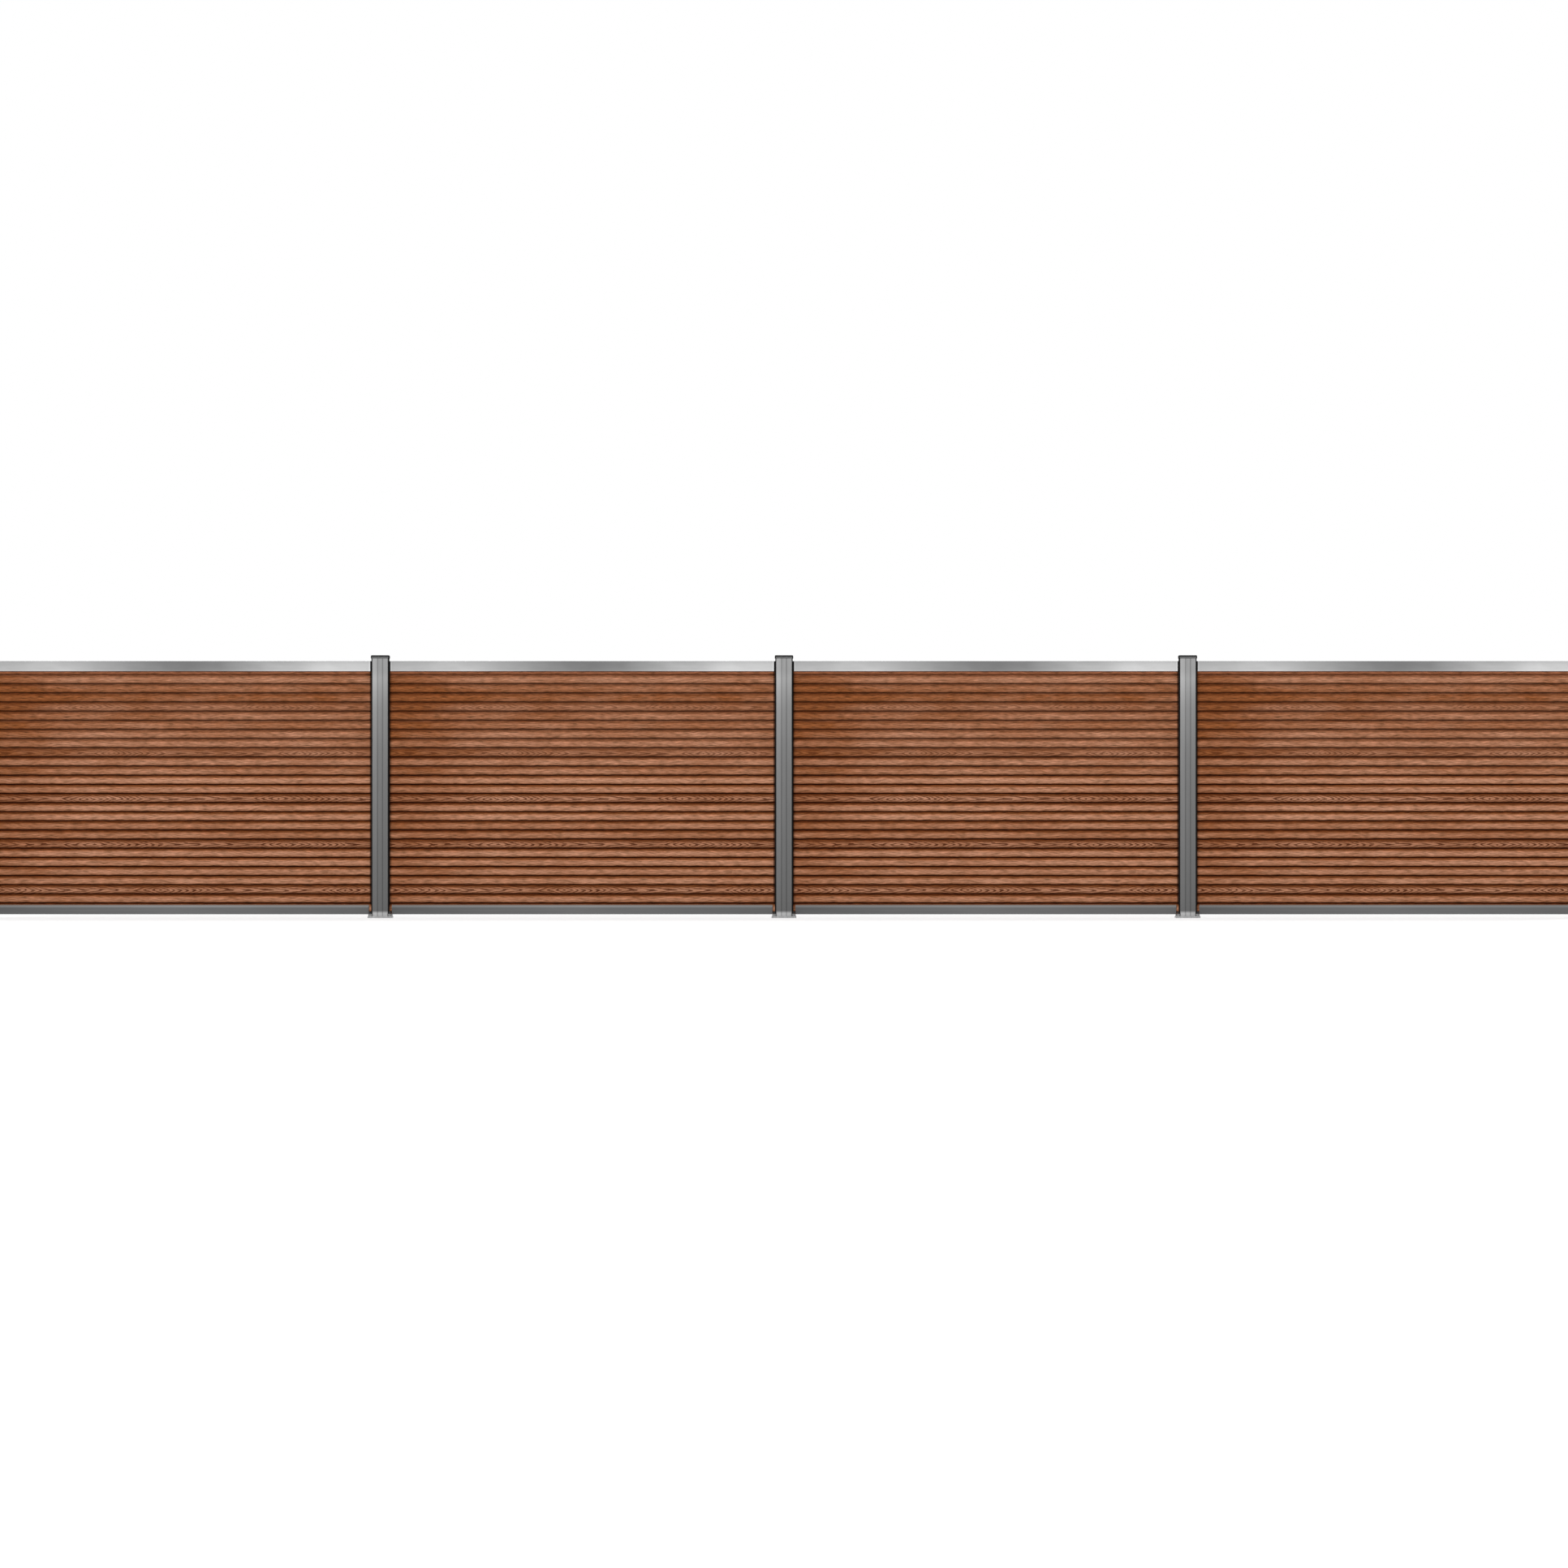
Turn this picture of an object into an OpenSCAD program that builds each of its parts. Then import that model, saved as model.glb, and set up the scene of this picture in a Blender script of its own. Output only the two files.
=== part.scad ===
// Composite fence: ribbed wood-plastic boards stacked between slotted aluminium posts.
// It runs on in equal bays, and the outer channels of the two end posts take the next bays.
// X runs along the fence, the front faces -Y and Z is up. The origin is the centre of the
// underside of the middle post's base plate. All sizes are in millimetres.

/* [Fence] */
// Number of bays, even so that one post stands in the middle
bays = 4; // [2:2:6]
// Distance from one post centre to the next
post_spacing = 1800; // [1000:10:2000]
// Height of the top rail's upper face above the ground
fence_height = 1145; // [800:5:1500]
// How far a post rises above the top rail
post_rise = 22; // [16:1:80]

/* [Post] */
// Width of the post along the fence
post_w = 70; // [64:1:90]
// Depth of the post across the fence
post_d = 70; // [64:1:90]
// Radius of the post's four outer corners
post_corner_r = 3; // [1:0.5:4]
// Width of the channel that the boards slide down
channel_w = 34; // [30:1:36]
// Depth of that channel
channel_depth = 19; // [12:1:24]
// Wall between the chambers and the channels
post_wall = 2; // [1.5:0.1:3]
// Wall of the front and rear faces
face_wall = 3; // [2.5:0.1:4]
// Side wall that the seal slots are cut into
side_wall = 5; // [4.5:0.1:6]
// Width of the shallow grooves down the front and rear faces
face_groove_w = 5; // [3:0.5:6]
// Depth of those grooves
face_groove_depth = 1.2; // [0.5:0.1:1.5]
// Distance of each groove from the middle of the face
face_groove_x = 11.2; // [6:0.1:16]

/* [Seal strips] */
// Width of the slot that holds a seal strip's tongue
seal_slot_w = 3; // [2.5:0.1:4]
// Depth of that slot
seal_slot_depth = 3.5; // [2.5:0.1:4]
// Thickness of the strip's root, which lies on the post's side
seal_root_t = 4; // [3:0.1:5]
// Depth of the root across the fence
seal_root_d = 16; // [8:0.5:18]
// How far the lip reaches beyond the root
seal_lip_reach = 1.5; // [0.5:0.1:4]
// Thickness of the lip at its edge
seal_lip_t = 1.5; // [1:0.1:2]
// Gap between the lip and the boards' ribs
seal_clearance = 0.4; // [0.2:0.1:0.8]

/* [Post cap] */
// Thickness of the cap's top
cap_top_t = 4; // [3:0.5:8]
// Overall height of the cap
cap_h = 14; // [8:1:20]
// Wall of the cap's skirt
cap_wall = 1.9; // [1.5:0.1:3]
// Radius of the cap's corners and top edges
cap_edge_r = 5; // [2:0.5:5]

/* [Base plate] */
// Side of the square base plate
plate_w = 110; // [106:1:160]
// Thickness of the plate
plate_t = 8; // [5:1:15]
// Radius of the plate's corners
plate_corner_r = 4; // [2:1:10]
// Distance between the anchor holes, the same both ways
hole_spacing = 86; // [80:1:90]
// Diameter of the anchor holes
hole_d = 11; // [9:0.5:13]

/* [Boards] */
// Thickness over the ribs
board_t = 21; // [19:0.5:24]
// Depth of the grooves between the ribs, on each face
rib_depth = 4; // [2:0.5:4.5]
// Distance from one rib to the next
rib_pitch = 40.7; // [30:0.1:50]
// Height of one rib's flat face, its rounded corners included
rib_h = 24.4; // [16:0.1:26]
// Radius of a rib's outer corners
rib_corner_r = 3.5; // [1:0.1:3.5]
// Number of ribs on one board
ribs_per_board = 5; // [1:1:6]
// Length of the tongue on a board's upper edge
tongue_h = 7; // [4:0.5:7]
// Thickness of the tongue
tongue_t = 5; // [3:0.1:6]
// Play between a tongue and its slot, and between two boards
joint_clearance = 0.3; // [0.2:0.1:0.6]
// Height of each hollow chamber in a board
chamber_h = 20; // [6:0.5:20]
// Width of each hollow chamber, across the board
chamber_w = 6; // [3:0.5:7]
// Gap between a board's end and the bottom of the post's channel
board_end_gap = 5; // [2:0.5:8]
// Length of the packers that the boards stand on
packer_l = 12; // [6:1:13]
// Width of the packers across the fence
packer_w = 24; // [16:1:28]

/* [Rails] */
// Gap between the ground and the bottom rail
bottom_rail_gap = 16; // [10:1:60]
// Height of the bottom rail
bottom_rail_h = 43; // [34:1:80]
// Width of the bottom rail across the fence
bottom_rail_w = 30; // [28:0.5:34]
// Thickness of the bottom rail's floor
bottom_rail_floor = 2.5; // [2:0.5:5]
// Height of the sloping lip along the bottom rail's upper edge
bottom_rail_lip_h = 12; // [6:1:16]
// Gap between the end of the bottom rail and the seal strips
bottom_rail_end_gap = 10.5; // [1:0.5:20]
// Height of the top rail
top_rail_h = 45; // [20:1:80]
// Thickness of the gasket between each end of the top rail and the seal strips
rail_gasket_t = 4; // [2:0.5:10]
// Wall of both rails
rail_wall = 2; // [1.5:0.1:2.5]
// Gap between the rails and the boards' ribs, on each side
rail_clearance = 0.5; // [0.3:0.1:1]

/* [Hidden] */
$fn = 32;
// Clearance of the parts that are pushed onto or into the post
fit = 0.3;
// Overrun of a cut beyond the face that it opens
over = 1;
// Straight pieces that stand in for one rounded rib corner
corner_steps = 4;

posts = bays + 1;
middle_post = bays / 2 + 1;
post_top = fence_height + post_rise;
web_half = post_w / 2 - channel_depth;
seal_root_x = post_w / 2 + seal_root_t;
seal_lip_x = seal_root_x + seal_lip_reach;
board_z = bottom_rail_gap + bottom_rail_floor;
board_pitch = ribs_per_board * rib_pitch;
board_l = post_spacing - 2 * (web_half + board_end_gap);
groove_half = board_t / 2 - rib_depth;
slot_h = tongue_h + joint_clearance;
slot_w = tongue_t + 2 * joint_clearance;
ceiling_z = fence_height - rail_wall;
boards = ceil((ceiling_z - board_z) / board_pitch);
rail_gasket_x = seal_lip_x + fit;
top_rail_l = post_spacing - 2 * (rail_gasket_x + rail_gasket_t);
bottom_rail_l = post_spacing - 2 * (seal_lip_x + bottom_rail_end_gap);
rail_inner_half = board_t / 2 + rail_clearance;

POST_PIECES = ["post", "post_cap", "base_plate", "seal_strips", "board_packers"];
BAY_PIECES = ["board_panel", "top_rail", "rail_gaskets", "bottom_rail"];

// Where a post or the middle of a bay stands along the fence
function post_x(i) = (i - middle_post) * post_spacing;
function bay_x(i) = post_x(i) + post_spacing / 2;

// A rectangle about the origin
module centred(w, d) {
    square([w, d], center = true);
}

// The same with its four corners rounded, from two bars and four circles
module rounded(w, d, r) {
    union() {
        centred(w - 2 * r, d);
        centred(w, d - 2 * r);
        for (sx = [-1, 1], sy = [-1, 1])
            translate([sx * (w / 2 - r), sy * (d / 2 - r)])
                circle(r);
    }
}

// A repeat of one corner's shape on both sides of both middle lines
module four_corners() {
    for (mx = [0, 1], my = [0, 1])
        mirror([mx, 0])
            mirror([0, my])
                children();
}

// Section of the H-shaped post: two board channels and three hollow chambers
module post_section() {
    flange_d = (post_d - channel_w) / 2;
    chamber_d = flange_d - face_wall - post_wall;
    difference() {
        rounded(post_w, post_d, post_corner_r);
        centred(2 * (web_half - post_wall), channel_w);
        for (side = [-1, 1]) {
            translate([side * (web_half + (channel_depth + over) / 2), 0])
                centred(channel_depth + over, channel_w);
            translate([0, side * (channel_w / 2 + post_wall + chamber_d / 2)])
                centred(post_w - 2 * side_wall, chamber_d);
            for (groove = [-1, 1])
                translate([groove * face_groove_x, side * post_d / 2])
                    centred(face_groove_w, 2 * face_groove_depth);
        }
        four_corners()
            translate([post_w / 2, seal_slot_y()])
                centred(2 * seal_slot_depth, seal_slot_w);
    }
}

// Middle of the seal slot, in line with the middle of the seal's root
function seal_slot_y() = (channel_w + seal_root_d) / 2;

module post() {
    color("darkgray")
        translate([0, 0, plate_t])
            linear_extrude(post_top - plate_t)
                post_section();
}

// Root of one seal strip with the tongue that holds it in the post's slot
module seal_root_section() {
    edge_y = channel_w / 2;
    union() {
        translate([post_w / 2, edge_y])
            square([seal_root_t, seal_root_d]);
        translate([post_w / 2 + fit - seal_slot_depth, seal_slot_y() - seal_slot_w / 2 + fit])
            square([seal_slot_depth, seal_slot_w - 2 * fit]);
    }
}

// Lip that closes the gap between the post and the boards' ribs
module seal_lip_section() {
    edge_y = channel_w / 2;
    lip_y = board_t / 2 + seal_clearance;
    polygon([
        [post_w / 2 + seal_lip_t, edge_y],
        [seal_root_x, edge_y + seal_root_t],
        [seal_lip_x, lip_y + seal_lip_t],
        [seal_lip_x, lip_y],
        [seal_lip_x - seal_lip_t, lip_y]
    ]);
}

module seal_strips() {
    bottom_z = plate_t + fit;
    color("black")
        translate([0, 0, bottom_z])
            union() {
                linear_extrude(post_top - fit - bottom_z)
                    four_corners()
                        seal_root_section();
                linear_extrude(fence_height - bottom_z)
                    four_corners()
                        seal_lip_section();
            }
}

// Cap over the post and its seal strips, with rounded corners and top edges
module post_cap() {
    inner_w = 2 * (seal_root_x + fit);
    inner_d = post_d + 2 * fit;
    outer_w = inner_w + 2 * cap_wall;
    outer_d = inner_d + 2 * cap_wall;
    color("dimgray")
        translate([0, 0, post_top + cap_top_t - cap_h])
            difference() {
                intersection() {
                    linear_extrude(cap_h)
                        rounded(outer_w, outer_d, cap_edge_r);
                    rotate([90, 0, 0])
                        cap_bar(outer_w, outer_d);
                    rotate([90, 0, 90])
                        cap_bar(outer_d, outer_w);
                }
                translate([0, 0, (cap_h - cap_top_t - over) / 2])
                    cube([inner_w, inner_d, cap_h - cap_top_t + over], center = true);
            }
}

// Bar whose end face has the cap's height and rounded upper corners
module cap_bar(w, l) {
    linear_extrude(l + 2 * over, center = true)
        difference() {
            translate([0, (cap_h - over) / 2])
                centred(w, cap_h + over);
            for (side = [-1, 1])
                difference() {
                    translate([side * w / 2, cap_h])
                        centred(2 * cap_edge_r, 2 * cap_edge_r);
                    translate([side * (w / 2 - cap_edge_r), cap_h - cap_edge_r])
                        circle(cap_edge_r);
                }
        }
}

module base_plate() {
    color("darkgray")
        linear_extrude(plate_t)
            difference() {
                rounded(plate_w, plate_w, plate_corner_r);
                four_corners()
                    translate([hole_spacing / 2, hole_spacing / 2])
                        circle(d = hole_d);
            }
}

// Blocks in the foot of the channels, one for each bay that meets post i
module board_packers(i) {
    first_x = web_half + board_end_gap;
    color("black")
        for (side = [-1, 1])
            if (side < 0 ? i > 1 : i < posts)
                translate([side * (first_x + packer_l / 2), 0, (plate_t + board_z) / 2])
                    cube([packer_l, packer_w, board_z - plate_t], center = true);
}

// One rib on a board's face, its foot on the groove floor and its outer corners rounded
module rib_section() {
    turn = 90 / corner_steps;
    out = board_t / 2 - rib_corner_r;
    up = rib_h / 2 - rib_corner_r;
    lower = [for (k = [0 : corner_steps])
        [out + rib_corner_r * sin(k * turn), -up - rib_corner_r * cos(k * turn)]];
    upper = [for (k = [corner_steps : -1 : 0])
        [out + rib_corner_r * sin(k * turn), up + rib_corner_r * cos(k * turn)]];
    polygon(concat([[0, -rib_h / 2]], lower, upper, [[0, rib_h / 2]]));
}

// Section of one board standing on its lower edge: Y is its height
module board_section() {
    body_h = board_pitch - joint_clearance;
    difference() {
        union() {
            translate([-groove_half, 0])
                square([2 * groove_half, body_h]);
            translate([-tongue_t / 2, body_h - over])
                square([tongue_t, over + tongue_h]);
            for (k = [0 : ribs_per_board - 1], side = [0, 1])
                translate([0, (k + 1 / 2) * rib_pitch])
                    mirror([side, 0])
                        rib_section();
        }
        translate([-slot_w / 2, -over])
            square([slot_w, over + slot_h]);
        for (k = [0 : ribs_per_board - 1])
            translate([0, (k + 1 / 2) * rib_pitch])
                centred(chamber_w, chamber_h);
    }
}

// The stack of one bay: whole boards, and a last one ripped to fit under the top rail
module board_panel() {
    color("sienna")
        for (k = [0 : boards - 1])
            translate([0, 0, board_z + k * board_pitch])
                rotate([90, 0, 90])
                    linear_extrude(board_l, center = true)
                        cut_board_section(ceiling_z - board_z - k * board_pitch);
}

// A board's section with whatever lies above a height cut away
module cut_board_section(room) {
    if (room < board_pitch + tongue_h)
        intersection() {
            board_section();
            translate([-board_t, 0])
                square([2 * board_t, room]);
        }
    else
        board_section();
}

// A length of the channel that caps the stack, open below
module top_channel(l) {
    outer_w = 2 * (rail_inner_half + rail_wall);
    translate([0, 0, fence_height])
        rotate([90, 0, 90])
            linear_extrude(l, center = true)
                difference() {
                    translate([0, -top_rail_h / 2])
                        centred(outer_w, top_rail_h);
                    translate([0, -rail_wall - top_rail_h / 2])
                        centred(2 * rail_inner_half, top_rail_h);
                }
}

module top_rail() {
    color("silver")
        top_channel(top_rail_l);
}

// Soft pieces of the same section that close the rail's ends against the seal strips
module rail_gaskets() {
    color("black")
        for (side = [-1, 1])
            translate([side * (top_rail_l + rail_gasket_t) / 2, 0, 0])
                top_channel(rail_gasket_t);
}

// Channel under the stack, open above, whose upper edges slope in towards the boards
module bottom_rail() {
    color("dimgray")
        translate([0, 0, bottom_rail_gap])
            rotate([90, 0, 90])
                linear_extrude(bottom_rail_l, center = true)
                    difference() {
                        rail_outline(bottom_rail_w / 2, rail_inner_half + rail_wall, 0, 0);
                        rail_outline(bottom_rail_w / 2 - rail_wall, rail_inner_half,
                                     bottom_rail_floor, over);
                    }
}

// Outline that is wide up to the sloping lip and narrower at its top
module rail_outline(wide, narrow, from, beyond) {
    lip_z = bottom_rail_h - bottom_rail_lip_h;
    top_z = bottom_rail_h + beyond;
    polygon([
        [-wide, from], [wide, from], [wide, lip_z], [narrow, bottom_rail_h],
        [narrow, top_z], [-narrow, top_z], [-narrow, bottom_rail_h], [-wide, lip_z]
    ]);
}

for (i = [1 : posts])
    translate([post_x(i), 0, 0]) {
        post();
        post_cap();
        base_plate();
        seal_strips();
        board_packers(i);
    }

for (i = [1 : bays])
    translate([bay_x(i), 0, 0]) {
        board_panel();
        top_rail();
        rail_gaskets();
        bottom_rail();
    }
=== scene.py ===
# %% [markdown]
# # A composite fence on aluminium posts
# The fence is a row of equal bays. Ribbed boards of wood-plastic composite are stacked
# between slotted aluminium posts, and a light channel caps each stack. The construction
# comes finished from the CAD model, so this lesson gives every surface its finish and
# adds the small fixings that hold the feet down.

import math

import bmesh
import bpy
from mathutils import Matrix, Vector


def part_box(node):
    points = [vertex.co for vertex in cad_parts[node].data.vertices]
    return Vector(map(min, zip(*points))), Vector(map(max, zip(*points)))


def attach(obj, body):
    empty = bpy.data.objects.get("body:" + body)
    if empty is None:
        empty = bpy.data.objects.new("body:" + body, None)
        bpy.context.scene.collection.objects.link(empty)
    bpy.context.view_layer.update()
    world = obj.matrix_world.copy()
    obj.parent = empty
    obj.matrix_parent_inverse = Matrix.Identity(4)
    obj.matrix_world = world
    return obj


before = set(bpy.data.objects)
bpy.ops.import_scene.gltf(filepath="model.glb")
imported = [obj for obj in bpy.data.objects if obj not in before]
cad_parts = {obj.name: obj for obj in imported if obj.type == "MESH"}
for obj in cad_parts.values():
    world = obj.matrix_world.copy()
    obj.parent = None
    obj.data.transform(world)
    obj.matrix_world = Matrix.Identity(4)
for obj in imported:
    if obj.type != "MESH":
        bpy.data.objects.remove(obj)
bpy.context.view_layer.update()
bpy.ops.object.select_all(action="DESELECT")

# %% [markdown]
# ## Where things are
# Every size that a finish or a fixing needs is read from the boxes of the CAD nodes, so
# the look follows the model. Only what a box can't tell is written here, such as how far
# apart the ribs lie on a board.

# %% Sizes of the fence
MM = 0.001
POSTS = sorted(int(n.split("_")[1]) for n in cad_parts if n.startswith("post_")
               and n.split("_")[1].isdigit())


def post_x(number):
    """Where a post's middle stands along the fence."""
    low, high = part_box(f"post_{number}")
    return (low.x + high.x) / 2


spacing = post_x(POSTS[1]) - post_x(POSTS[0])
plate_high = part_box("base_plate_1")[1]
post_low, post_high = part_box("post_1")
cap_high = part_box("post_cap_1")[1]
board_low, board_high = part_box("board_panel_1")
top_rail_low, top_rail_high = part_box("top_rail_1")
bottom_rail_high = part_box("bottom_rail_1")[1]
seal_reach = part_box("seal_strips_3")[1].x - post_x(3)
rib_pitch = 40.7 * MM
ribs_per_board = 5
rib_share = 0.6
print("bay:", round(spacing, 3), "boards start at", round(board_low.z, 4))

# %% [markdown]
# ## The camera
# The fence is seen square on, so a long lens far away is used: its picture is almost the
# flat elevation that a catalogue shows. The view is a little narrower than four bays, and
# the ground lies a little under the middle of the picture.

# %% Camera
view_width = 6.987
view_distance = 36.0
eye_height = 0.597
sensor_width = 36.0

camera_data = bpy.data.cameras.new("camera")
camera_data.sensor_width = sensor_width
camera_data.lens = sensor_width * view_distance / view_width
camera_data.clip_end = 200.0
camera = bpy.data.objects.new("camera", camera_data)
camera.location = (0, post_low.y - view_distance, eye_height)
camera.rotation_euler = (math.radians(90), 0, 0)
bpy.context.scene.collection.objects.link(camera)
bpy.context.scene.camera = camera
print("lens:", round(camera_data.lens, 1))

# %% [markdown]
# ## Writing finishes as arithmetic
# A procedural finish is mostly arithmetic on coordinates. A small class wraps a socket
# and overloads the operators, so that `1 - mask * 0.5` adds the two Math nodes it needs.
# Every other node comes from `Finish.node`, which takes a node's type, its settings and
# its inputs.

# %% Shader helper
class Field:
    """One socket of a finish, with arithmetic that adds Math nodes."""

    def __init__(self, finish, socket):
        self.finish, self.socket = finish, socket

    def math(self, operation, *others):
        return self.finish.math(operation, self, *others)

    def __add__(self, other): return self.finish.math("ADD", self, other)
    def __radd__(self, other): return self.finish.math("ADD", other, self)
    def __sub__(self, other): return self.finish.math("SUBTRACT", self, other)
    def __rsub__(self, other): return self.finish.math("SUBTRACT", other, self)
    def __mul__(self, other): return self.finish.math("MULTIPLY", self, other)
    def __rmul__(self, other): return self.finish.math("MULTIPLY", other, self)
    def __truediv__(self, other): return self.finish.math("DIVIDE", self, other)
    def __mod__(self, other): return self.finish.math("FLOORED_MODULO", self, other)
    def __pow__(self, other): return self.finish.math("POWER", self, other)
    def __abs__(self): return self.finish.math("ABSOLUTE", self)
    def __gt__(self, other): return self.finish.math("GREATER_THAN", self, other)
    def __lt__(self, other): return self.finish.math("LESS_THAN", self, other)


class Finish:
    """A material under construction, with the object's coordinates at hand."""

    def __init__(self, name):
        self.material = bpy.data.materials.new(name)
        self.material.use_nodes = True
        self.tree = self.material.node_tree
        self.shader = self.tree.nodes["Principled BSDF"]
        self.place = self.node("ShaderNodeTexCoord", out="Object")
        split = {"Vector": self.place}
        self.x = self.node("ShaderNodeSeparateXYZ", inputs=split, out="X")
        self.y = self.node("ShaderNodeSeparateXYZ", inputs=split, out="Y")
        self.z = self.node("ShaderNodeSeparateXYZ", inputs=split, out="Z")

    def feed(self, socket, value):
        if isinstance(value, Field):
            self.tree.links.new(value.socket, socket)
        else:
            socket.default_value = value

    def node(self, kind, settings=(), inputs=(), out=0):
        """Adds a node: its settings first, then the values or links of its inputs."""
        made = self.tree.nodes.new(kind)
        for key, value in dict(settings).items():
            if key == "stops":
                self.set_stops(made.color_ramp, value)
            elif key == "interpolation":
                made.color_ramp.interpolation = value
            else:
                setattr(made, key, value)
        for key, value in dict(inputs).items():
            self.feed(made.inputs[key], value)
        return Field(self, made.outputs[out])

    @staticmethod
    def set_stops(ramp, stops):
        while len(ramp.elements) < len(stops):
            ramp.elements.new(1.0)
        for element, (position, colour) in zip(ramp.elements, stops):
            element.position = position
            element.color = colour

    def math(self, operation, *values):
        return self.node("ShaderNodeMath", {"operation": operation}, dict(enumerate(values)))

    def ramp(self, factor, stops, interpolation="LINEAR"):
        return self.node("ShaderNodeValToRGB", {"interpolation": interpolation, "stops": stops},
                         {"Fac": factor}, out="Color")

    def step(self, value, start, end):
        """0 below start, 1 beyond end, and smooth in between."""
        return self.node("ShaderNodeMapRange", {"interpolation_type": "SMOOTHSTEP"},
                         {"Value": value, "From Min": start, "From Max": end})

    def noise(self, u, v, detail=2.0, roughness=0.5):
        """Soft noise between 0 and 1 over two stretched coordinates."""
        at = self.node("ShaderNodeCombineXYZ", inputs={"X": u, "Y": v})
        return self.node("ShaderNodeTexNoise", {"noise_dimensions": "2D"},
                         {"Vector": at, "Scale": 1.0, "Detail": detail, "Roughness": roughness})

    def chance(self, number):
        """A fixed random value between 0 and 1 for a whole number."""
        return self.node("ShaderNodeTexWhiteNoise", {"noise_dimensions": "1D"}, {"W": number})

    def mix(self, factor, first, second, blend="MIX"):
        return self.node("ShaderNodeMix", {"data_type": "RGBA", "blend_type": blend},
                         {0: factor, 6: first, 7: second}, out=2)

    def dim(self, colour, level):
        """The colour made lighter or darker by a level around 1."""
        channels = dict.fromkeys(("Red", "Green", "Blue"), level)
        tint = self.node("ShaderNodeCombineColor", inputs=channels)
        return self.mix(1.0, colour, tint, "MULTIPLY")

    def bump(self, height, distance, strength=1.0, normal=None):
        inputs = {"Height": height, "Distance": distance, "Strength": strength}
        if normal is not None:
            inputs["Normal"] = normal
        return self.node("ShaderNodeBump", inputs=inputs)

    def rounded_edges(self, radius):
        """The normal of the same surface with its sharp edges eased."""
        return self.node("ShaderNodeBevel", {"samples": 4}, {"Radius": radius})

    def set(self, **values):
        """Feeds the shader's sockets; an underscore in a name stands for a space."""
        for key, value in values.items():
            self.feed(self.shader.inputs[key.replace("_", " ")], value)
        return self.material


def paint(red, green, blue):
    """A colour given as 0 to 255 screen values, as the shader wants it."""
    def linear(c):
        c = c / 255
        return c / 12.92 if c <= 0.04045 else ((c + 0.055) / 1.055) ** 2.4
    return (linear(red), linear(green), linear(blue), 1.0)


def grey(level):
    return paint(level, level, level)


# %% [markdown]
# ## Places inside one bay
# The bays are alike, so each finish first works out where a point lies in its own bay, or
# how far it is from the nearest post. Rear faces read the noise a few metres further on,
# so that the two sides of a board don't carry the same grain.

# %% Bay coordinates
rear_shift = 3.7


def along_bay(finish):
    """Distance from the post on the left, from 0 to one bay."""
    return finish.x % spacing


def from_post(finish):
    """Signed distance from the middle of the nearest post."""
    return (finish.x + spacing / 2) % spacing - spacing / 2


def behind(finish):
    return finish.y > 0.0


# %% [markdown]
# ## Composite boards
# The boards are extruded from wood flour and plastic, then embossed with a grain and
# brushed. The brush leaves the faces of the ribs lighter than the brown grooves. On top of
# that, one ramp over the distance from a rib's lower edge paints the light and shade of
# the ribs: a painted highlight on the crown of each rib, and painted shade in the groove,
# darkest in a line close under the rib above, where its shadow falls. The ramp is a tint
# that multiplies the tone of the board.

# %% Tone of the boards
HEIGHT_TONES = ((0.00, 0.64), (0.20, 0.66), (0.24, 0.84), (0.28, 0.52), (0.34, 0.60),
                (0.40, 0.86), (0.45, 0.52), (0.53, 0.84), (0.60, 0.62), (0.64, 0.52),
                (0.67, 0.66), (0.74, 0.46), (0.82, 0.40), (0.86, 0.20), (0.89, 0.20),
                (0.92, 0.72))
# Painted light and shade across one rib, from its lower edge (0) to the lower edge of the rib
# above (1).
RIB_SHADING = ((0.000, (64, 34, 18)), (0.030, (96, 64, 42)), (0.065, (190, 172, 148)),
             (0.125, (222, 215, 207)), (0.190, (238, 233, 227)), (0.270, (255, 255, 255)),
             (0.500, (255, 255, 255)), (0.565, (228, 226, 222)), (0.620, (246, 238, 226)),
             (0.690, (218, 202, 180)), (0.750, (188, 164, 130)), (0.810, (168, 142, 104)),
             (0.875, (160, 120, 74)), (0.920, (134, 88, 48)), (0.955, (60, 30, 14)),
             (1.000, (52, 26, 13)))


class Board:
    """Where a point lies on its board, its rib and its stretch of grain."""

    def __init__(self, wood):
        self.u = along_bay(wood) + behind(wood) * rear_shift
        self.rise = (wood.z - board_low.z) / rib_pitch
        self.rib = self.rise.math("FLOOR")
        self.row = self.rib * 7.31
        self.number = (self.rise / ribs_per_board).math("FLOOR")
        self.v = self.rise - self.rib - 0.5
        middle = (self.number + 0.5) * ribs_per_board
        self.is_heart = abs(self.rise - middle) < 0.5
        self.mm = wood.z * 1000


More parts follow.
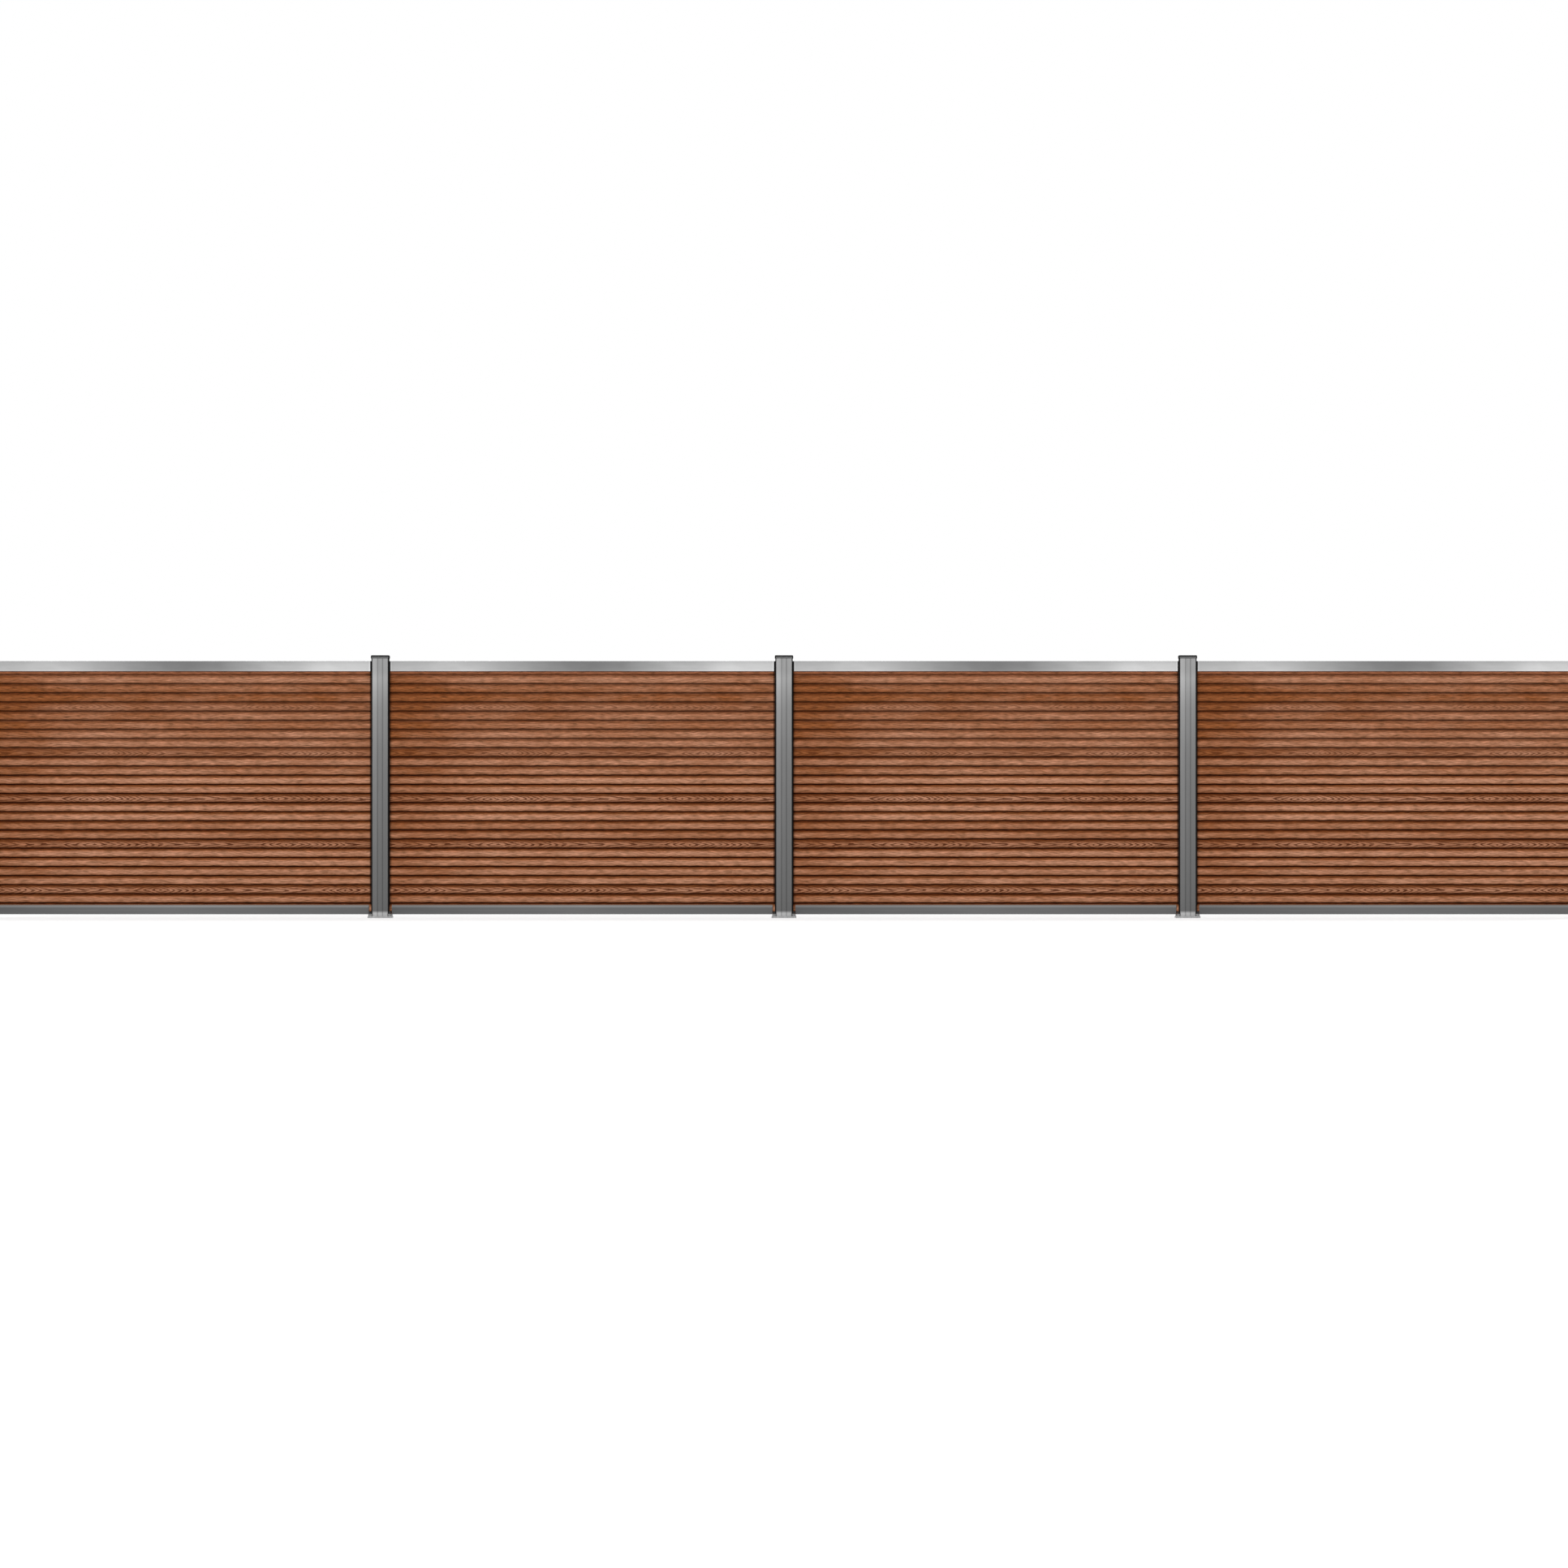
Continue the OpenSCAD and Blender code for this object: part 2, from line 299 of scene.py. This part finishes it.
def board_tone(wood, at):
    """Mixes browns by height, rib and patch; paints rib shade, rail shadow and seal shade."""
    span = (wood.z - board_low.z) / (board_high.z - board_low.z)
    by_height = wood.ramp(span, [(place, (k, k, k, 1)) for place, k in HEIGHT_TONES])
    patch = wood.noise(at.u * 2.4, at.row, 2.0) - 0.5
    small = wood.noise(at.u * 9.0, at.row + at.mm * 0.03, 2.0) - 0.5
    tone = by_height + (wood.chance(at.rib + 3.0) - 0.5) * 0.22 + patch * 0.8 + small * 0.5
    first = along_bay(wood) / spacing
    tone = tone - (1 - wood.step(first, 0.02, 0.30)) * 0.36 * (0.5 + span)
    face = wood.mix(tone, paint(136, 80, 44), paint(185, 134, 106))
    # Painted light and shade on each rib: a highlight on the crown, a dark lower edge, and shade
    # in the groove that darkens up to a line under the rib above, where its shadow falls. It is
    # weaker in the upper half of the boards.
    ragged = wood.noise(at.u * 16.0, at.row + 80.0, 2.0, 0.6) - 0.5
    high = wood.step(span, 0.50, 0.75)
    crown = (at.rise - (1 - rib_share) / 2 + ragged * 0.13 - high * 0.035) % 1.0
    tint = wood.ramp(crown, [(place, paint(*colour)) for place, colour in RIB_SHADING])
    tint = wood.mix(high * 0.30, tint, grey(255))
    colour = wood.mix(1.0, face, tint, "MULTIPLY")
    # Painted shadow of the top rail on the strip of board just under it.
    rail_shadow = wood.step(wood.z, top_rail_low.z - 22 * MM, top_rail_low.z - 16 * MM)
    colour = wood.mix(rail_shadow * 0.85, colour, paint(134, 80, 52))
    # Painted shade on the board ends beside the seals, above the bottom rail.
    side = from_post(wood)
    reach = abs(side) - (side < 0.0) * 3 * MM
    seal_shade = 1 - wood.step(reach, seal_reach + 0.5 * MM, seal_reach + 6 * MM)
    seal_shade = seal_shade * wood.step(wood.z, bottom_rail_high.z - 8 * MM, bottom_rail_high.z + 8 * MM)
    return wood.mix(seal_shade * 0.86, colour, paint(34, 14, 6))


# %% [markdown]
# ## Grain
# Streaks are noise that is stretched far along the board. The line they follow drifts up
# and down, so that they lean here and there. The middle rib of each board carries the
# arches of flat-sawn timber. They are contour lines of a value that climbs and falls
# along the board and also grows away from the heart of the rib: where it climbs, the
# arches point one way, where it falls they point back, and an eye closes in between.

# %% Grain of the boards
arch_run = 0.82
ARCH_CLIMB = ((0.00, 0.000), (0.34, 0.607), (0.80, 0.943), (0.86, 0.950), (1.00, 0.7143))
ARCH_COUNT = 14.0


def streaks(wood, at):
    """Long streaks, short streaks and pores, each between 0 and 1."""
    drift = wood.noise(at.u * 4.5, at.row + 40.0, 2.0) - 0.5
    lane = at.mm + drift * 34.0
    long = wood.noise(at.u * 8.0, lane * 0.19 + at.row, 3.0, 0.6)
    short = wood.noise(at.u * 26.0, lane * 0.30 + at.row, 3.0, 0.55)
    pores = wood.step(wood.noise(at.u * 34.0, lane * 0.7 + 9.0, 1.0), 0.60, 0.74)
    return long, short, pores


def arches(wood, at):
    """Nested arches on the heart rib: 1 on a dark contour, 0 between."""
    stray = wood.noise(at.u * 1.7, at.number * 5.7, 1.0) - 0.5
    place = at.u + stray * 0.22 + wood.chance(at.number + 20.0) * arch_run
    climb = wood.ramp((place % arch_run) / arch_run,
                      [(p, (k, k, k, 1)) for p, k in ARCH_CLIMB]) * ARCH_COUNT
    wander = wood.noise(at.u * 6.0, at.number * 3.1 + 11.0, 1.0) - 0.5
    off = abs(at.v - 0.08 + wander * 0.22) / (rib_share / 2)
    wobble = wood.noise(at.u * 24.0, at.mm * 0.13, 2.0) - 0.5
    contour = climb + 1.15 * off ** 1.4 + wobble * 0.8
    crest = abs(contour % 1.0 - 0.5) * 2
    thin = wood.step(wood.noise(at.u * 11.0, at.mm * 0.12 + at.number, 1.0), 0.28, 0.60)
    fade = 1 - off.math("MINIMUM", 1.0) * 0.25
    return wood.step(crest, 0.42, 0.74) * at.is_heart * fade * (0.62 + thin * 0.38)


# %% Board finish
def board_finish():
    wood = Finish("composite_board")
    at = Board(wood)
    colour = board_tone(wood, at)
    long, short, pores = streaks(wood, at)
    arch = arches(wood, at)
    calm = 1 - at.is_heart * 0.35
    shade = 1.02 + ((long - 0.5) * 1.15 + (short - 0.5) * 1.9) * calm - pores * 0.22
    grain = wood.node("ShaderNodeCombineColor",
                      inputs={"Red": shade, "Green": shade, "Blue": shade ** 1.12})
    colour = wood.mix(1.0, colour, grain, "MULTIPLY")
    faint = 0.92 - wood.step(at.rise, 9.0, 23.0) * 0.42
    colour = wood.mix(arch * faint, colour, paint(70, 28, 6))
    height = long * 0.5 + short * 0.4 - pores * 0.4 - arch * 0.9
    return wood.set(Base_Color=colour, Roughness=0.66 + (short - 0.5) * 0.2,
                    Specular_IOR_Level=0.05, Normal=wood.bump(height, 0.4 * MM))


board_material = board_finish()
print("finish:", board_material.name)

# %% [markdown]
# ## Post aluminium
# The posts are drawn through a die, which leaves faint lines from top to foot. A painted
# reflection of the surroundings makes the satin metal lighter towards the top, and the
# strip beyond the left groove carries a painted sheen. It is wiped bright just above the
# plate. The two shallow grooves are darkened with painted shade.

# %% Post finish
groove_x = 11.2 * MM
groove_half = 2.5 * MM
edge_ease = 0.4 * MM


def post_finish():
    metal = Finish("post_aluminium")
    x = from_post(metal)
    height = metal.z / post_high.z
    # Painted reflection: the metal gets lighter towards the top; the bright band at the foot is
    # bare metal.
    base = metal.ramp(height, [
        (0.000, grey(160)), (0.018, grey(176)), (0.027, grey(98)), (0.10, grey(102)),
        (0.28, grey(108)), (0.50, grey(114)), (0.68, grey(124)), (0.80, grey(134)),
        (0.875, grey(150)), (0.915, grey(159)), (0.95, grey(150)), (1.00, grey(152))])
    # Painted sheen on the strip beyond the left groove, stronger towards the top.
    left = 1 - metal.step(x, -groove_x - groove_half, -groove_x + groove_half)
    # Painted shade in the two grooves on the front and back faces.
    groove_shade = 1 - metal.step(abs(abs(x) - groove_x), groove_half * 0.8, groove_half * 1.2)
    groove_shade = groove_shade * (abs(metal.y) > post_high.y - 2 * MM)
    lines = metal.noise(x * 900.0, metal.z * 1.3, 2.0, 0.7)
    cloud = metal.noise(x * 18.0, metal.z * 5.0, 2.0)
    level = 0.97 + left * (0.06 + height * 0.14) + (lines - 0.5) * 0.22 + (cloud - 0.5) * 0.16
    level = level * (1 - groove_shade * 0.30)
    colour = metal.dim(base, level)
    return metal.set(Base_Color=colour, Metallic=0.9, Roughness=0.40 + (lines - 0.5) * 0.16,
                     Normal=metal.bump(lines, 0.03 * MM, normal=metal.rounded_edges(edge_ease)))


post_material = post_finish()
print("finish:", post_material.name)

# %% [markdown]
# ## Rail aluminium
# The top rail is left natural and satin. A painted reflection gives it a slow wave of
# light and dark in every bay, with painted highlights on its lower edge and its ends and
# painted shade along its upper edge. The bottom rail is anodised darker, with a milder
# painted sheen along each bay, and its sloping lip looks up at the light and gets a
# painted highlight.

# %% Rail finishes
def top_rail_finish():
    metal = Finish("top_rail_aluminium")
    u = along_bay(metal)
    # Painted reflection: a slow wave of light and dark along each bay.
    base = metal.ramp(u / spacing, [
        (0.02, grey(170)), (0.20, grey(188)), (0.31, grey(165)), (0.42, grey(137)),
        (0.52, grey(122)), (0.60, grey(134)), (0.72, grey(172)), (0.80, grey(182)),
        (0.87, grey(201)), (0.98, grey(194))])
    lines = metal.noise(u * 1.1, metal.z * 1100.0, 2.0, 0.7)
    cloud = metal.noise(u * 9.0, metal.z * 30.0, 3.0)
    # Painted highlight along the lower edge and at the ends, painted shade along the upper edge,
    # and the rail painted lighter towards its lower edge.
    lower_edge_highlight = 1 - metal.step(metal.z, top_rail_low.z + 3 * MM, top_rail_low.z + 8 * MM)
    upper_edge_shade = metal.step(metal.z, top_rail_high.z - 5 * MM, top_rail_high.z - 2 * MM)
    end = metal.step(abs(u - spacing / 2), (top_rail_high.x - top_rail_low.x) / 2 - 7 * MM,
                     (top_rail_high.x - top_rail_low.x) / 2 - 5 * MM)
    fall = (metal.z - top_rail_low.z) / (top_rail_high.z - top_rail_low.z)
    level = (0.98 + (lines - 0.5) * 0.16 + (cloud - 0.5) * 0.22 + lower_edge_highlight * 0.12
             - (fall - 0.5) * 0.14 - upper_edge_shade * 0.12 + end * 0.22)
    colour = metal.dim(base, level)
    return metal.set(Base_Color=colour, Metallic=0.9, Roughness=0.34 + (lines - 0.5) * 0.14,
                     Normal=metal.bump(lines, 0.02 * MM, normal=metal.rounded_edges(0.5 * MM)))


def bottom_rail_finish():
    metal = Finish("bottom_rail_aluminium")
    u = along_bay(metal)
    # Painted sheen: the rail is lighter in the middle of each bay.
    base = metal.ramp(u / spacing, [(0.02, grey(90)), (0.5, grey(107)), (0.98, grey(96))])
    # Painted highlight on the sloping lip, which faces up towards the light.
    lip = metal.step(metal.z, bottom_rail_high.z - 13 * MM, bottom_rail_high.z - 11 * MM)
    lines = metal.noise(u * 1.3, metal.z * 1100.0, 2.0, 0.7)
    cloud = metal.noise(u * 5.0, metal.z * 40.0, 2.0)
    level = 0.97 + lip * 0.12 + (lines - 0.5) * 0.16 + (cloud - 0.5) * 0.16
    colour = metal.dim(base, level)
    # The top 8 mm of the rail, next to the boards, is painted brown.
    brown_top_band = metal.step(metal.z, bottom_rail_high.z - 8 * MM, bottom_rail_high.z)
    colour = metal.mix(brown_top_band * 0.7, colour, paint(92, 70, 56))
    return metal.set(Base_Color=colour, Metallic=0.9, Roughness=0.42 + (lines - 0.5) * 0.16,
                     Normal=metal.bump(lines, 0.02 * MM, normal=metal.rounded_edges(edge_ease)))


top_rail_material = top_rail_finish()
bottom_rail_material = bottom_rail_finish()
print("finishes:", top_rail_material.name, bottom_rail_material.name)

# %% [markdown]
# ## Plates, rubber and moulded plastic
# The base plates are plain mill-finish metal with a fine mottle. Seals, gaskets and
# packers are black and matt, with a little dust. The cap is moulded black plastic: its
# rounded rim and sides stay black, and its flat skirt is painted dark grey as painted
# light, where it faces the lamps.

# %% Plate finish
def plate_finish():
    metal = Finish("plate_aluminium")
    x = from_post(metal)
    mottle = metal.noise(x * 90.0, metal.y * 90.0, 3.0, 0.6)
    lines = metal.noise(x * 40.0, metal.y * 800.0, 2.0)
    colour = metal.mix(mottle, grey(140), grey(172))
    return metal.set(Base_Color=colour, Metallic=0.9, Roughness=0.38 + (mottle - 0.5) * 0.3,
                     Normal=metal.bump(lines, 0.03 * MM, normal=metal.rounded_edges(0.6 * MM)))


# %% Rubber and plastic finishes
def black_finish(name, dark, light, roughness):
    """Matt black with a thin uneven film of dust."""
    black = Finish(name)
    x = from_post(black)
    dust = black.noise(x * 140.0, black.z * 60.0, 3.0, 0.6)
    grain = black.noise(x * 1500.0 + black.y * 900.0, black.z * 1500.0, 1.0)
    colour = black.mix(black.step(dust, 0.45, 0.85), grey(dark), grey(light))
    return black.set(Base_Color=colour, Roughness=roughness + (dust - 0.5) * 0.2,
                     Specular_IOR_Level=0.12, Normal=black.bump(grain, 0.04 * MM))


def cap_finish():
    black = Finish("cap_plastic")
    x = from_post(black)
    rim = black.step(black.z, cap_high.z - 7.5 * MM, cap_high.z - 5.5 * MM)
    side = black.step(abs(x), cap_high.x - post_x(1) - 6 * MM, cap_high.x - post_x(1) - 4 * MM)
    grain = black.noise(x * 1300.0, black.z * 1300.0 + black.y * 1300.0, 1.0)
    skirt_mottle = black.noise(x * 60.0, black.z * 60.0, 2.0)
    edge = rim.math("MAXIMUM", side)
    # Painted light: the flat skirt is painted dark grey with a mottle, the rim and sides keep the
    # black of the plastic.
    lit_skirt = black.mix(skirt_mottle, grey(92), grey(112))
    colour = black.mix(edge, lit_skirt, grey(10))
    return black.set(Base_Color=colour, Roughness=0.6 + (skirt_mottle - 0.5) * 0.2,
                     Specular_IOR_Level=0.12, Normal=black.bump(grain, 0.05 * MM))


plate_material = plate_finish()
seal_material = black_finish("seal_rubber", 9, 24, 0.7)
packer_material = black_finish("packer_plastic", 16, 32, 0.6)
cap_material = cap_finish()
print("finishes:", plate_material.name, seal_material.name, packer_material.name,
      cap_material.name)

# %% [markdown]
# ## Giving the finishes to the model
# Each CAD node keeps its mesh, and only its material changes. A table from the node's kind
# to its finish does them all.

# %% Assign finishes
FINISHES = {
    "post": post_material, "post_cap": cap_material, "base_plate": plate_material,
    "seal_strips": seal_material, "rail_gaskets": seal_material,
    "board_packers": packer_material, "board_panel": board_material,
    "top_rail": top_rail_material, "bottom_rail": bottom_rail_material,
}


def give(obj, material):
    obj.data.materials.clear()
    obj.data.materials.append(material)


for name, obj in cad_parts.items():
    give(obj, FINISHES[name.rsplit("_", 1)[0]])
print("nodes finished:", len(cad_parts))

# %% [markdown]
# ## Anchors
# Every base plate is held down by four threaded studs, each with a washer and a hexagon
# nut. A nut starts as a six-sided cylinder, and its upper face is inset and lifted to give
# the chamfer. The stud gets its thread from rings of edges that are scaled by turns, and
# the washer is a ring with an eased rim. One anchor is modelled at the middle of the
# fence and copied to the other holes, and the four of a plate are joined.

# %% Anchor sizes
hole_offset = 43 * MM
washer_radius, washer_height = 10 * MM, 1.6 * MM
nut_radius, nut_height = 8.6 * MM, 8 * MM
stud_radius, stud_height = 4.9 * MM, 20.5 * MM
plate_top = plate_high.z


def start_piece(name):
    """Names the new primitive and applies its placement."""
    piece = bpy.context.active_object
    piece.name = piece.data.name = name
    bpy.ops.object.transform_apply(location=True, rotation=True, scale=True)
    return piece


def pick(piece, choose, kind="faces"):
    """Selects the faces or edges that a test on their middle and normal accepts."""
    bpy.ops.object.mode_set(mode="EDIT")
    bpy.ops.mesh.select_mode(type="FACE" if kind == "faces" else "EDGE")
    bpy.ops.mesh.select_all(action="DESELECT")
    mesh = bmesh.from_edit_mesh(piece.data)
    for part in getattr(mesh, kind):
        if kind == "faces":
            part.select_set(choose(part.calc_center_median(), part.normal))
        else:
            a, b = part.verts
            part.select_set(choose((a.co + b.co) / 2, b.co - a.co))
    bmesh.update_edit_mesh(piece.data)


# %% Washer
bpy.ops.object.select_all(action="DESELECT")
bpy.ops.mesh.primitive_cylinder_add(vertices=32, radius=washer_radius, depth=washer_height,
                                    location=(0, 0, plate_top + washer_height / 2))
washer = start_piece("washer")
pick(washer, lambda at, normal: abs(normal.z) > 0.9 and at.z > plate_top + washer_height * 0.9)
bpy.ops.mesh.inset(thickness=0.5 * MM)
bpy.ops.transform.translate(value=(0, 0, 0.3 * MM))
bpy.ops.mesh.inset(thickness=washer_radius - stud_radius - 1.2 * MM)
bpy.ops.transform.translate(value=(0, 0, -0.25 * MM))
bpy.ops.object.mode_set(mode="OBJECT")

# %% Nut
nut_floor = plate_top + washer_height + 0.2 * MM
bpy.ops.object.select_all(action="DESELECT")
bpy.ops.mesh.primitive_cylinder_add(vertices=6, radius=nut_radius + 1 * MM, depth=nut_height,
                                    location=(0, 0, nut_floor + nut_height / 2))
nut = start_piece("nut")
pick(nut, lambda at, normal: normal.z > 0.9)
bpy.ops.mesh.inset(thickness=1.1 * MM)
bpy.ops.transform.translate(value=(0, 0, 0.9 * MM))
bpy.ops.mesh.inset(thickness=1.6 * MM)
bpy.ops.mesh.inset(thickness=1.0 * MM)
bpy.ops.transform.translate(value=(0, 0, -0.7 * MM))
pick(nut, lambda at, way: abs(way.z) > nut_height * 0.5, "edges")
bpy.ops.mesh.bevel(offset=0.5 * MM, segments=2)
bpy.ops.object.mode_set(mode="OBJECT")

# %% Stud
thread_pitch = 1.5 * MM
bpy.ops.object.select_all(action="DESELECT")
bpy.ops.mesh.primitive_cylinder_add(vertices=20, radius=stud_radius, depth=thread_pitch / 2,
                                    location=(0, 0, plate_top + thread_pitch / 4))
stud = start_piece("stud")
turns = int((stud_height - 1 * MM) / thread_pitch)
for turn in range(turns * 2):
    top = plate_top + thread_pitch / 2 * (turn + 1)
    pick(stud, lambda at, normal: normal.z > 0.9 and at.z > top - 0.1 * MM)
    bpy.ops.mesh.extrude_region_move(TRANSFORM_OT_translate={"value": (0, 0, thread_pitch / 2)})
    ratio = 0.86 if turn % 2 == 0 else 1 / 0.86
    bpy.ops.transform.resize(value=(ratio, ratio, 1))
pick(stud, lambda at, normal: normal.z > 0.9)
bpy.ops.mesh.inset(thickness=0.9 * MM)
bpy.ops.transform.translate(value=(0, 0, 0.5 * MM))
bpy.ops.object.mode_set(mode="OBJECT")

# %% Join one anchor
bpy.ops.object.select_all(action="DESELECT")
for piece in (washer, stud, nut):
    piece.select_set(True)
bpy.context.view_layer.objects.active = nut
bpy.ops.object.join()
bpy.ops.object.shade_smooth_by_angle(angle=math.radians(35))
anchor = nut
anchor.name = "anchor"
print("faces of one anchor:", len(anchor.data.polygons))

# %% [markdown]
# ## Finish of the anchors
# Zinc plating goes on bright and dulls unevenly, so the nuts and studs get a cloudy grey
# with darker patches in the thread, where the dirt stays.

# %% Anchor finish
def anchor_finish():
    metal = Finish("zinc_steel")
    x = from_post(metal)
    cloud = metal.noise(x * 220.0 + metal.y * 90.0, metal.z * 260.0 + metal.y * 150.0, 3.0, 0.6)
    spots = metal.step(metal.noise(x * 600.0 + metal.y * 500.0, metal.z * 700.0, 2.0), 0.55, 0.7)
    above_nut = metal.step(metal.z, nut_floor + nut_height, nut_floor + nut_height + 1 * MM)
    colour = metal.mix(cloud, grey(96), grey(168))
    colour = metal.mix(spots * 0.55, colour, paint(70, 62, 56))
    colour = metal.mix(above_nut * 0.7, colour, grey(42))
    return metal.set(Base_Color=colour, Metallic=0.85, Roughness=0.34 + (cloud - 0.5) * 0.3,
                     Normal=metal.bump(cloud, 0.05 * MM))


anchor_material = anchor_finish()
give(anchor, anchor_material)

# %% Copy the anchors to every plate
corners = [(sx * hole_offset, sy * hole_offset) for sx in (-1, 1) for sy in (-1, 1)]
for number in POSTS:
    copies = []
    for turn, (dx, dy) in enumerate(corners):
        copy = anchor.copy()
        copy.data = anchor.data.copy()
        bpy.context.scene.collection.objects.link(copy)
        angle = math.radians(17 * turn + 23 * number)
        copy.data.transform(Matrix.Translation(Vector((post_x(number) + dx, dy, 0)))
                            @ Matrix.Rotation(angle, 4, "Z"))
        copies.append(copy)
    bpy.ops.object.select_all(action="DESELECT")
    for copy in copies:
        copy.select_set(True)
    bpy.context.view_layer.objects.active = copies[0]
    bpy.ops.object.join()
    copies[0].name = copies[0].data.name = f"anchors_{number}"
    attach(copies[0], "root")
bpy.data.objects.remove(anchor)
print("anchors:", len(POSTS) * len(corners))

# %% [markdown]
# ## The stage
# A wide pale floor and a white world stand in for a studio. Two soft suns, one in front
# and one behind, light both faces of the fence alike, high enough to draw a shadow under
# every rib. The camera and the mirror rays see a white room. The light that scatters off
# the floor and the world onto the fence is kept lower, so that the suns still shape it.

# %% Floor
floor_size = 160.0
bpy.ops.mesh.primitive_plane_add(size=floor_size, location=(0, 0, 0))
floor = bpy.context.active_object
floor.name = "floor"


def stage_finish():
    """Pale for the camera, bright for mirror rays and quiet for scattered light."""
    pale = Finish("stage_floor")
    ray = {kind: pale.node("ShaderNodeLightPath", out=f"Is {kind} Ray")
           for kind in ("Camera", "Glossy", "Diffuse")}
    pale.set(Base_Color=pale.mix(ray["Diffuse"], grey(232), grey(120)), Roughness=0.9)
    glow = pale.node("ShaderNodeEmission")
    share = ray["Camera"] * 0.5 + ray["Glossy"] * 0.75
    surface = pale.node("ShaderNodeMixShader",
                        inputs={0: share, 1: Field(pale, pale.shader.outputs[0]), 2: glow})
    pale.tree.links.new(surface.socket, pale.tree.nodes["Material Output"].inputs["Surface"])
    return pale.material


give(floor, stage_finish())

# %% World and lamps
scattered_light = 0.42

world = bpy.data.worlds.new("studio")
bpy.context.scene.world = world
world.use_nodes = True
sky = world.node_tree
ray = sky.nodes.new("ShaderNodeLightPath")
strength = sky.nodes.new("ShaderNodeMapRange")
strength.inputs["To Min"].default_value = 1.0
strength.inputs["To Max"].default_value = scattered_light
sky.links.new(ray.outputs["Is Diffuse Ray"], strength.inputs["Value"])
sky.links.new(strength.outputs[0], sky.nodes["Background"].inputs["Strength"])
sky.nodes["Background"].inputs["Color"].default_value = (1, 1, 1, 1)


def add_sun(name, power, elevation, azimuth, spread):
    """A soft sun; azimuth 0 shines from the front, towards +Y."""
    data = bpy.data.lights.new(name, "SUN")
    data.energy = power
    data.angle = math.radians(spread)
    lamp = bpy.data.objects.new(name, data)
    lamp.rotation_euler = (math.radians(90 - elevation), 0, math.radians(azimuth))
    bpy.context.scene.collection.objects.link(lamp)


sun_power, sun_height, sun_spread = 2.9, 48, 24
for name, azimuth in (("front_sun", -18), ("rear_sun", 162)):
    add_sun(name, sun_power, sun_height, azimuth, sun_spread)
bpy.context.scene.view_settings.view_transform = "Standard"
